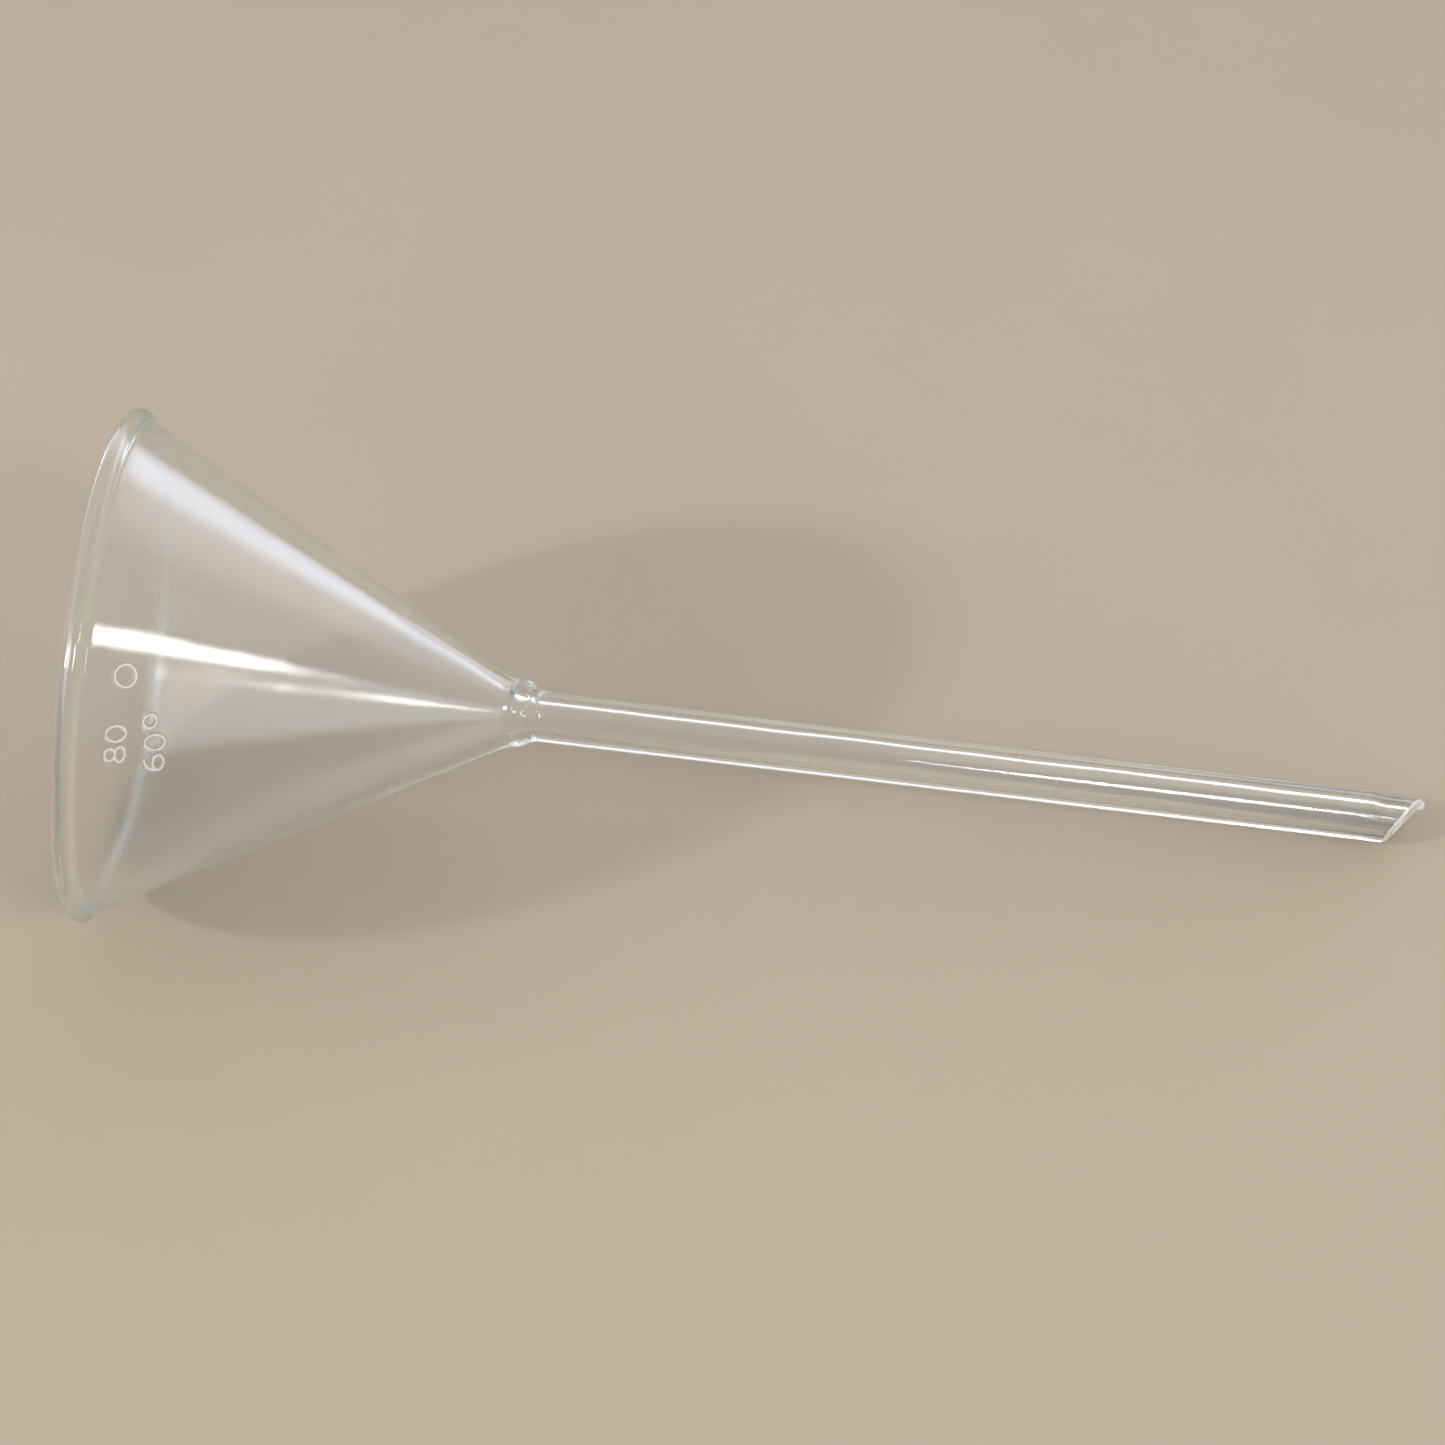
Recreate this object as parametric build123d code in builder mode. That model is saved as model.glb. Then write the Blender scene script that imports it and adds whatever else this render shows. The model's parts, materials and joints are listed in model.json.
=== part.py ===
from build123d import *
from math import asin, atan2, cos, hypot, radians, sin, sqrt, tan
import os

# A long-stem laboratory filter funnel of clear glass, lying on its side on a table.
# It is one piece of glass in use, and is made from worked stretches that are sealed together in a
# flame: a moulded cone with a rolled rim, a drawn stem tube, the seal between them, and the ground
# tip. Each stretch is its own solid, and each meets the next face to face.
#
# Lengths are in millimetres. "Height" is measured along the funnel's own axis, from the stem's
# longest point up towards the rim. The table is the plane Z = 0, the rim is towards -X, and the
# origin is the middle of the underside of the whole funnel's bounding box.

# ------------------------------------------------------------------ driving sizes
RIM_DIAMETER = 80.0  # over the rolled rim
OVERALL_LENGTH = 210.0  # from the rim's top to the stem's long point
CONE_ANGLE = 58.0  # full angle between opposite walls, which seats a 60 degree folded paper
BOWL_WALL = 1.9
BEAD_STAND_OUT = 0.7  # how far the rolled rim stands out beyond the cone's outer wall
BEAD_STAND_IN = 0.5  # and how far it stands in beyond the inner wall

STEM_DIAMETER = 7.9
STEM_WALL = 1.85

COLLAR_STAND_OUT = 1.35  # how far the sealed collar is outside the stem, measured on the radius
COLLAR_LENGTH = 1.6  # straight part of the collar below the cone
SHOULDER_LENGTH = 3.5  # from the collar down to the plain stem

BEVEL_ANGLE = 51.0  # between the ground tip's face and the axis
BEVEL_TURN = 82.0  # the tip's short side, turned from straight down towards the front
TIP_COLLAR = 3.0  # plain tube in the tip's stretch, above twice the bevel's length
POLISH_RADIUS = 0.4  # edges of the ground tip, rounded in the flame
DRIP_RADIUS = 0.9  # bead of glass that gathers at the tip's long point

MARK_RELIEF = 0.3  # height of the moulded marks above the cone
MARK_LINE = 0.5  # width of the lines the marks are drawn with
FIGURE_HEIGHT = 3.5
FIGURE_WIDTH = 2.8
FIGURE_PITCH = 3.15  # from one figure's middle to the next
SIX_LOOP_HEIGHT = 2.17
SIX_BEND_OUT = 0.84  # where the back of the six bends, out from and up from the figure's middle
SIX_BEND_UP = 0.875
SIX_END_OUT = 0.616  # and where it ends along the figure's top, out from the middle
EIGHT_LOOP_HEIGHT = 1.96  # the lower of the eight's two loops
EIGHT_TOP_WIDTH = 2.352
DEGREE_RADIUS = 1.25  # over the degree ring
MARK_TURN = 121.7  # middle of the two figures' marks round the axis, from straight down to the front
ANGLE_MARK_DROP = 11.6  # from the rim's bead down the wall to the middle of the angle mark
SIZE_MARK_DROP = 5.7
BADGE_TURN = 137.7
BADGE_DROP = 6.3
BADGE_DIAMETER = 3.7

# ------------------------------------------------------------------ sizes worked out from them
half_angle = radians(CONE_ANGLE / 2)
rim_radius = RIM_DIAMETER / 2
stem_radius = STEM_DIAMETER / 2
bore_radius = stem_radius - STEM_WALL
collar_radius = stem_radius + COLLAR_STAND_OUT
bead_radius = (BOWL_WALL + BEAD_STAND_OUT + BEAD_STAND_IN) / 2
bevel_length = STEM_DIAMETER / tan(radians(BEVEL_ANGLE))
tip_length = 2 * bevel_length + TIP_COLLAR

# The wall of the cone in the half-section, where a point is (radius, height): its middle of bead,
# the direction up along the wall, and the direction out of it.
bead_centre = Vector(rim_radius - bead_radius, OVERALL_LENGTH - bead_radius)
up_wall = Vector(sin(half_angle), cos(half_angle))
out_of_wall = Vector(cos(half_angle), -sin(half_angle))
outer_offset = bead_radius - BEAD_STAND_OUT
inner_offset = outer_offset - BOWL_WALL


def wall_point(along: float, outward: float) -> Vector:
    """A point of the half-section, placed along the wall and out of it from the bead's middle."""
    return bead_centre + up_wall * along + out_of_wall * outward


# The bead's joint is where its circle runs into the outer wall.
bead_joint = -sqrt(bead_radius**2 - outer_offset**2)
bead_inner_joint = -sqrt(bead_radius**2 - inner_offset**2)
bead_outer_end = wall_point(bead_joint, outer_offset)
bead_inner_end = wall_point(bead_joint, inner_offset)

# The cone ends where its outer wall has come in to the collar's radius.
neck_along = bead_joint - (bead_outer_end.X - collar_radius) / sin(half_angle)
neck_outer = wall_point(neck_along, outer_offset)
neck_inner = wall_point(neck_along, inner_offset)
collar_foot = neck_outer.Y - COLLAR_LENGTH
stem_top = collar_foot - SHOULDER_LENGTH
throat_height = neck_inner.Y - (neck_inner.X - bore_radius) / tan(half_angle)

# The funnel rests on its bead and on the foot of its bevelled tip, so its axis is tilted. The tilt
# is that of the line from the tip's lowest corner that touches the bead's circle from below.
rest_height = bevel_length * (1 + cos(radians(BEVEL_TURN))) / 2
span_along = bead_centre.Y - rest_height
span_across = bead_centre.X - stem_radius
rest_tilt = atan2(span_across, span_along) + asin(bead_radius / hypot(span_along, span_across))
tip_x = (
    (bead_centre.Y * cos(rest_tilt) + bead_centre.X * sin(rest_tilt) + bead_radius)
    - (stem_radius - DRIP_RADIUS) * cos(radians(BEVEL_TURN)) * sin(rest_tilt)
    - DRIP_RADIUS * (1 - cos(rest_tilt))
) / 2
tip_z = stem_radius * cos(rest_tilt) - rest_height * sin(rest_tilt)

# The funnel's own frame: Z along the axis from tip to rim, X down to the table, Y to the front.
funnel = Plane(
    origin=(tip_x, 0, tip_z),
    x_dir=(-sin(rest_tilt), 0, -cos(rest_tilt)),
    z_dir=(-cos(rest_tilt), 0, sin(rest_tilt)),
)
funnel_axis = Axis(funnel.origin, funnel.z_dir)
# The half-section's plane: X is the radius and Y the height along the axis.
half_section = Plane(origin=funnel.origin, x_dir=funnel.x_dir, z_dir=-funnel.y_dir)


def turned_frame(turn: float) -> Plane:
    """The funnel's frame, with X turned round the axis from straight down towards the front."""
    side = funnel.x_dir * cos(radians(turn)) + funnel.y_dir * sin(radians(turn))
    return Plane(origin=funnel.origin, x_dir=side, z_dir=funnel.z_dir)


os.makedirs("parts", exist_ok=True)

# ------------------------------------------------------------------ rolled rim
with BuildPart() as rim_bead:
    with BuildSketch(half_section):
        with BuildLine():
            ThreePointArc(
                bead_outer_end,
                bead_centre + up_wall * bead_radius,
                wall_point(bead_inner_joint, inner_offset),
            )
            Line(wall_point(bead_inner_joint, inner_offset), bead_inner_end)
            Line(bead_inner_end, bead_outer_end)
        make_face()
    revolve(axis=funnel_axis)

rim_bead.part.label = "rim_bead"
export_step(rim_bead.part, "parts/rim_bead.step")

# ------------------------------------------------------------------ cone
with BuildPart() as bowl_cone:
    with BuildSketch(half_section):
        with BuildLine():
            Polyline(bead_outer_end, bead_inner_end, neck_inner, neck_outer, close=True)
        make_face()
    revolve(axis=funnel_axis)

bowl_cone.part.label = "bowl_cone"
export_step(bowl_cone.part, "parts/bowl_cone.step")

# ------------------------------------------------------------------ flame seal between cone and stem
shoulder_middle = (collar_foot + stem_top) / 2

with BuildPart() as neck_seal:
    with BuildSketch(half_section):
        with BuildLine():
            Line(neck_inner, neck_outer)
            Line(neck_outer, (collar_radius, collar_foot))
            Bezier(
                (collar_radius, collar_foot),
                (collar_radius, shoulder_middle),
                (stem_radius, shoulder_middle),
                (stem_radius, stem_top),
            )
            Line((stem_radius, stem_top), (bore_radius, stem_top))
            Bezier((bore_radius, stem_top), (bore_radius, throat_height), neck_inner)
        make_face()
    revolve(axis=funnel_axis)

neck_seal.part.label = "neck_seal"
export_step(neck_seal.part, "parts/neck_seal.step")

# ------------------------------------------------------------------ stem
with BuildPart() as stem_tube:
    with BuildSketch(funnel.offset(tip_length)):
        Circle(stem_radius)
        Circle(bore_radius, mode=Mode.SUBTRACT)
    extrude(amount=stem_top - tip_length)

stem_tube.part.label = "stem_tube"
export_step(stem_tube.part, "parts/stem_tube.step")

# ------------------------------------------------------------------ bevelled tip
# In the tip's frame, X points at the short side of the bevel.
tip_frame = turned_frame(BEVEL_TURN)
drip_centre = tip_frame.from_local_coords((DRIP_RADIUS - stem_radius, 0, DRIP_RADIUS))
bevel_face = Plane(
    origin=tip_frame.from_local_coords((0, 0, bevel_length / 2)),
    x_dir=tip_frame.y_dir,
    z_dir=tip_frame.z_dir * sin(radians(BEVEL_ANGLE)) - tip_frame.x_dir * cos(radians(BEVEL_ANGLE)),
)

with BuildPart() as stem_tip:
    with BuildSketch(funnel):
        Circle(stem_radius)
        Circle(bore_radius, mode=Mode.SUBTRACT)
    extrude(amount=tip_length)
    split(bisect_by=bevel_face, keep=Keep.TOP)
    ground_edges = stem_tip.faces().sort_by(Axis(bevel_face.origin, bevel_face.z_dir))[0].edges()
    fillet(ground_edges, radius=POLISH_RADIUS)
    with Locations(drip_centre):
        Sphere(DRIP_RADIUS)
    with BuildSketch(funnel):
        Circle(bore_radius)
    extrude(amount=tip_length, mode=Mode.SUBTRACT)

stem_tip.part.label = "stem_tip"
export_step(stem_tip.part, "parts/stem_tip.step")

# ------------------------------------------------------------------ moulded marks
# A mark is drawn upright on a plane that touches the cone, with its top towards the rim, and only
# the skin between the cone and the same cone swelled by the relief is kept of it.


def mark_plane(turn: float, drop: float) -> Plane:
    """The plane that touches the outer wall, a turn round the axis and a drop below the bead."""
    spot = wall_point(bead_joint - drop, outer_offset)
    turned = turned_frame(turn)
    outward = turned.x_dir * cos(half_angle) - turned.z_dir * sin(half_angle)
    return Plane(
        origin=turned.from_local_coords((spot.X, 0, spot.Y)), x_dir=turned.y_dir, z_dir=outward
    )


def skin_outline(drop: float, reach: float) -> list[Vector]:
    """Corners, in the half-section, of the skin that holds a mark reaching up and down the wall."""
    low = bead_joint - drop - reach
    high = bead_joint - drop + reach
    return [
        wall_point(low, outer_offset),
        wall_point(high, outer_offset),
        wall_point(high, outer_offset + MARK_RELIEF),
        wall_point(low, outer_offset + MARK_RELIEF),
    ]


def oval(y: float, width: float, height: float, inset: float = 0, mode: Mode = Mode.ADD) -> Ellipse:
    """An oval over a figure's middle line, drawn in by an inset, for a figure's loop or its eye."""
    with Locations((0, y)):
        return Ellipse(width / 2 - inset, height / 2 - inset, mode=mode)


# The loops of a six and an eight stand on the figure's foot, and the eight's two loops share a line.
six_loop_middle = (SIX_LOOP_HEIGHT - FIGURE_HEIGHT) / 2
eight_loop_middle = (EIGHT_LOOP_HEIGHT - FIGURE_HEIGHT) / 2
eight_top_height = FIGURE_HEIGHT + MARK_LINE - EIGHT_LOOP_HEIGHT
eight_top_middle = (FIGURE_HEIGHT - eight_top_height) / 2

# ---- the cone's angle: a six, a nought and a degree ring
with BuildPart() as angle_mark:
    with BuildSketch(mark_plane(MARK_TURN, ANGLE_MARK_DROP)):
        with Locations((-FIGURE_PITCH, 0)):
            oval(six_loop_middle, FIGURE_WIDTH, SIX_LOOP_HEIGHT)
        six_back = ThreePointArc(
            ((MARK_LINE - FIGURE_WIDTH) / 2 - FIGURE_PITCH, six_loop_middle),
            (-SIX_BEND_OUT - FIGURE_PITCH, SIX_BEND_UP),
            (SIX_END_OUT - FIGURE_PITCH, (FIGURE_HEIGHT - MARK_LINE) / 2),
        )
        SlotArc(six_back, height=MARK_LINE)
        with Locations((-FIGURE_PITCH, 0)):
            oval(six_loop_middle, FIGURE_WIDTH, SIX_LOOP_HEIGHT, MARK_LINE, Mode.SUBTRACT)
        oval(0, FIGURE_WIDTH, FIGURE_HEIGHT)
        oval(0, FIGURE_WIDTH, FIGURE_HEIGHT, MARK_LINE, Mode.SUBTRACT)
        with Locations((FIGURE_PITCH, FIGURE_HEIGHT / 2 - DEGREE_RADIUS + MARK_LINE)):
            Circle(DEGREE_RADIUS)
            Circle(DEGREE_RADIUS - MARK_LINE, mode=Mode.SUBTRACT)
    extrude(amount=FIGURE_HEIGHT / 2, both=True)
    with BuildSketch(half_section):
        with BuildLine():
            Polyline(*skin_outline(ANGLE_MARK_DROP, FIGURE_HEIGHT), close=True)
        make_face()
    revolve(axis=funnel_axis, mode=Mode.INTERSECT)

angle_mark.part.label = "angle_mark"
export_step(angle_mark.part, "parts/angle_mark.step")

# ---- the rim's diameter: an eight and a nought
with BuildPart() as size_mark:
    with BuildSketch(mark_plane(MARK_TURN, SIZE_MARK_DROP)):
        with Locations((-FIGURE_PITCH / 2, 0)):
            oval(eight_loop_middle, FIGURE_WIDTH, EIGHT_LOOP_HEIGHT)
            oval(eight_top_middle, EIGHT_TOP_WIDTH, eight_top_height)
            oval(eight_loop_middle, FIGURE_WIDTH, EIGHT_LOOP_HEIGHT, MARK_LINE, Mode.SUBTRACT)
            oval(eight_top_middle, EIGHT_TOP_WIDTH, eight_top_height, MARK_LINE, Mode.SUBTRACT)
        with Locations((FIGURE_PITCH / 2, 0)):
            oval(0, FIGURE_WIDTH, FIGURE_HEIGHT)
            oval(0, FIGURE_WIDTH, FIGURE_HEIGHT, MARK_LINE, Mode.SUBTRACT)
    extrude(amount=FIGURE_HEIGHT / 2, both=True)
    with BuildSketch(half_section):
        with BuildLine():
            Polyline(*skin_outline(SIZE_MARK_DROP, FIGURE_HEIGHT), close=True)
        make_face()
    revolve(axis=funnel_axis, mode=Mode.INTERSECT)

size_mark.part.label = "size_mark"
export_step(size_mark.part, "parts/size_mark.step")

# ---- plain ring badge
with BuildPart() as ring_badge:
    with BuildSketch(mark_plane(BADGE_TURN, BADGE_DROP)):
        Circle(BADGE_DIAMETER / 2)
        Circle(BADGE_DIAMETER / 2 - MARK_LINE, mode=Mode.SUBTRACT)
    extrude(amount=BADGE_DIAMETER / 2, both=True)
    with BuildSketch(half_section):
        with BuildLine():
            Polyline(*skin_outline(BADGE_DROP, BADGE_DIAMETER), close=True)
        make_face()
    revolve(axis=funnel_axis, mode=Mode.INTERSECT)

ring_badge.part.label = "ring_badge"
export_step(ring_badge.part, "parts/ring_badge.step")
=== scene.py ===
"""Looks for a long-stem filter funnel of clear glass, lying on its side on a pale table.

The funnel is one sealed piece of glass, so it is made here as one closed skin. Each worked stretch
(bevelled tip, drawn stem, flame seal, cone, rolled rim) is a class that shapes its own rows of that
skin, outside and inside, and the moulded marks are raised in the cone's outer rows.

A point of the glass is given in the funnel's own frame: its turn round the axis, from straight down
towards the front, its radius, and its height along the axis from the stem's long point to the rim.
"""

import json
import logging
import math
from dataclasses import dataclass
from enum import Enum

import bpy
import numpy as np
from mathutils import Matrix, Vector


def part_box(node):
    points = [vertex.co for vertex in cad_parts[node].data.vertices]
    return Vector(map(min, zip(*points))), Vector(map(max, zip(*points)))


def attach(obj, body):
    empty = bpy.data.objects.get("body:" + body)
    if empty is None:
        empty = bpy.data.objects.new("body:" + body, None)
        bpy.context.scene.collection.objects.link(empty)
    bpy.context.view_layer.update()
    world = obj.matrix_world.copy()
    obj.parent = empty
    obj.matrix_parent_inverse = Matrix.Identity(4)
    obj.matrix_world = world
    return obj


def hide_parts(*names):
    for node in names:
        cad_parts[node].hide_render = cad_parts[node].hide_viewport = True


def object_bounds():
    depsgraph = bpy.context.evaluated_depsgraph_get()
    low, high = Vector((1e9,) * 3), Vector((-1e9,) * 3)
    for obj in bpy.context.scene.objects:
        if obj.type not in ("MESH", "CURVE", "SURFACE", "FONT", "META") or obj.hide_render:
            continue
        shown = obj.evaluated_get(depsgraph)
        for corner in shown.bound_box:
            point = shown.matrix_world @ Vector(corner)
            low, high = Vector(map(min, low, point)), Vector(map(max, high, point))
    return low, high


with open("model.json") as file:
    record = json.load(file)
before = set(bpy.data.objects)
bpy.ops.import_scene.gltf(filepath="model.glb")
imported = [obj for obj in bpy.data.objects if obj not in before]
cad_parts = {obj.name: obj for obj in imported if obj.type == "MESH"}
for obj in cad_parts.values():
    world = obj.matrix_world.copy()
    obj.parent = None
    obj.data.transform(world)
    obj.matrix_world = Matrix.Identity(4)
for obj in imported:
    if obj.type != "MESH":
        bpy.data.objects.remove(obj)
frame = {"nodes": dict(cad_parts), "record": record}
CAD_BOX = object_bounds()

MM = 0.001
FULL_TURN = 2 * math.pi
log = logging.getLogger("funnel")


# ---------------------------------------------------------------------------- frame and sizes
@dataclass(frozen=True)
class FunnelSizes:
    """Driving sizes of the glass in metres, and the half-section worked out from them.

    The rim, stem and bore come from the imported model; the others are the model's own driving sizes.
    """

    rim_radius: float
    stem_radius: float
    bore_radius: float
    overall_length: float = 210.0 * MM
    half_angle: float = math.radians(29.0)
    bowl_wall: float = 1.9 * MM
    bead_stand_out: float = 0.7 * MM
    bead_stand_in: float = 0.5 * MM
    collar_stand_out: float = 1.35 * MM
    collar_length: float = 1.6 * MM
    shoulder_length: float = 3.5 * MM
    bevel_angle: float = math.radians(51.0)
    bevel_turn: float = math.radians(82.0)
    tip_collar: float = 3.0 * MM

    @property
    def bead_radius(self) -> float:
        """Radius of the rolled bead's round section."""
        return (self.bowl_wall + self.bead_stand_out + self.bead_stand_in) / 2

    @property
    def outer_offset(self) -> float:
        """How far the outer wall lies outside the bead's middle."""
        return self.bead_radius - self.bead_stand_out

    @property
    def inner_offset(self) -> float:
        """How far the inner wall lies outside the bead's middle, which is less than nothing."""
        return self.outer_offset - self.bowl_wall

    @property
    def bead_joint(self) -> float:
        """Distance along the wall from the bead's middle down to where the bead meets the wall."""
        return -math.sqrt(self.bead_radius**2 - self.outer_offset**2)

    @property
    def neck_along(self) -> float:
        """Distance along the wall from the bead's middle down to the seal."""
        collar_radius = self.stem_radius + self.collar_stand_out
        joint_radius = self.wall_point(self.bead_joint, self.outer_offset)[0]
        return self.bead_joint - (joint_radius - collar_radius) / math.sin(self.half_angle)

    @property
    def bevel_length(self) -> float:
        """Length along the stem that the bevel takes up."""
        return 2 * self.stem_radius / math.tan(self.bevel_angle)

    @property
    def tip_length(self) -> float:
        """Length of the tip's stretch."""
        return 2 * self.bevel_length + self.tip_collar

    @property
    def collar_foot(self) -> float:
        """Height of the foot of the seal's straight collar."""
        return self.wall_point(self.neck_along, self.outer_offset)[1] - self.collar_length

    @property
    def stem_top(self) -> float:
        """Height at which the plain stem runs into the seal."""
        return self.collar_foot - self.shoulder_length

    def wall_point(self, along: float, outward: float) -> tuple[float, float]:
        """Places a point of the half-section from the bead's middle.

        Args:
            along: Distance up along the wall.
            outward: Distance out of the wall.

        Returns:
            The point's radius and height.
        """
        sine, cosine = math.sin(self.half_angle), math.cos(self.half_angle)
        radius = self.rim_radius - self.bead_radius + along * sine + outward * cosine
        height = self.overall_length - self.bead_radius + along * cosine - outward * sine
        return radius, height


@dataclass(frozen=True)
class FunnelAxes:
    """The funnel's own frame, placed in the row frame."""

    origin: Vector
    down: Vector
    front: Vector
    along: Vector

    def place(self, turns: np.ndarray, radii: np.ndarray, heights: np.ndarray) -> np.ndarray:
        """Turns points of the glass into row frame points.

        Args:
            turns: Turn round the axis of every point, in radians.
            radii: Radius of every point.
            heights: Height of every point along the axis.

        Returns:
            One row of x, y and z for every point.
        """
        sideways = radii * np.cos(turns)
        forward = radii * np.sin(turns)
        parts = (
            np.multiply.outer(sideways, np.array(self.down)),
            np.multiply.outer(forward, np.array(self.front)),
            np.multiply.outer(heights, np.array(self.along)),
        )
        return sum(parts) + np.array(self.origin)


def read_frame(record: dict) -> tuple[FunnelSizes, FunnelAxes]:
    """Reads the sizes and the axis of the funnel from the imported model.

    Args:
        record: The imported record, whose stem mount lies on the axis.

    Returns:
        The funnel's sizes and its axes.
    """
    mounts = {mount["name"]: mount for mount in record["mounts"]}
    outside = mounts["stem_outside"]
    low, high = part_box("rim_bead")
    sizes = FunnelSizes(
        rim_radius=(high.y - low.y) / 2,
        stem_radius=outside["dims"]["r_mm"] * MM,
        bore_radius=mounts["stem_bore"]["dims"]["r_mm"] * MM,
    )
    towards_tip = Vector(outside["axis"]).normalized()
    half_length = outside["dims"]["length_mm"] * MM / 2
    front = Vector((0.0, -1.0, 0.0))
    axes = FunnelAxes(
        origin=Vector(outside["pos_m"]) + towards_tip * (half_length + sizes.bevel_length),
        down=front.cross(-towards_tip).normalized(),
        front=front,
        along=-towards_tip,
    )
    return sizes, axes


# ---------------------------------------------------------------------------- rows of the skin
@dataclass(frozen=True)
class Softening:
    """How a crease between two stretches is rounded: rows that may move on each side, and how often."""

    before: int
    after: int
    passes: int


@dataclass
class Rows:
    """Some rows of the skin: radius and height of every point, one column for each turn."""

    radii: np.ndarray
    heights: np.ndarray

    @classmethod
    def revolve(cls, outline: np.ndarray, turns: np.ndarray) -> "Rows":
        """Makes rows that are the same all round.

        Args:
            outline: Radius and height of each row.
            turns: The skin's columns.

        Returns:
            The rows.
        """
        across = np.ones((1, len(turns)))
        return cls(outline[:, :1] * across, outline[:, 1:] * across)

    def flipped(self) -> "Rows":
        """The same rows in the other order."""
        return Rows(self.radii[::-1], self.heights[::-1])

    def soften(self, crease: int, softening: Softening) -> None:
        """Rounds a crease between rows, as a flame does.

        Args:
            crease: First row past the crease.
            softening: Which rows move halfway to their neighbours' middle, and how many times.
        """
        first, last = crease - softening.before, crease + softening.after
        for _ in range(softening.passes):
            for grid in (self.radii, self.heights):
                middle = (grid[first - 1 : last] + grid[first + 1 : last + 2]) / 2
                grid[first : last + 1] += (middle - grid[first : last + 1]) / 2


def stack(stretches: list[Rows]) -> Rows:
    """Joins stretches of rows, one after another."""
    return Rows(
        np.concatenate([rows.radii for rows in stretches]),
        np.concatenate([rows.heights for rows in stretches]),
    )


def bezier(corners: list[tuple[float, float]], count: int) -> np.ndarray:
    """Points along a Bezier curve of any degree.

    Args:
        corners: The curve's control points.
        count: How many points to put on it, both ends among them.

    Returns:
        One row of radius and height for every point.
    """
    degree = len(corners) - 1
    share = np.linspace(0.0, 1.0, count)[:, None]
    total = np.zeros((count, 2))
    for place, corner in enumerate(corners):
        weight = math.comb(degree, place) * share**place * (1 - share) ** (degree - place)
        total += weight * np.array(corner)
    return total


@dataclass(frozen=True)
class HandRipple:
    """The slight unevenness of glass worked by hand: a few long waves along and round it."""

    depth: float
    length: float
    lobes: int
    phase: float = 0.0
    quick_rate: float = 2.3
    slow_part: float = 0.6
    quick_part: float = 0.4

    def offset(self, turns: np.ndarray, heights: np.ndarray) -> np.ndarray:
        """How far the glass stands out of its true shape.

        Args:
            turns: Turn of every column.
            heights: Height of every point.

        Returns:
            An offset for every point.
        """
        along = heights * FULL_TURN / self.length
        slow = np.sin(along + self.phase) * np.cos(turns + self.phase)
        quick = np.sin(along * self.quick_rate + self.phase * 2) * np.cos(self.lobes * turns - self.phase)
        return self.depth * (self.slow_part * slow + self.quick_part * quick)


# ---------------------------------------------------------------------------- moulded marks
class Figure(Enum):
    """What a mark is made up of."""

    SIX = "six"
    EIGHT = "eight"
    NOUGHT = "nought"
    DEGREE = "degree ring"
    RING = "ring"


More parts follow.
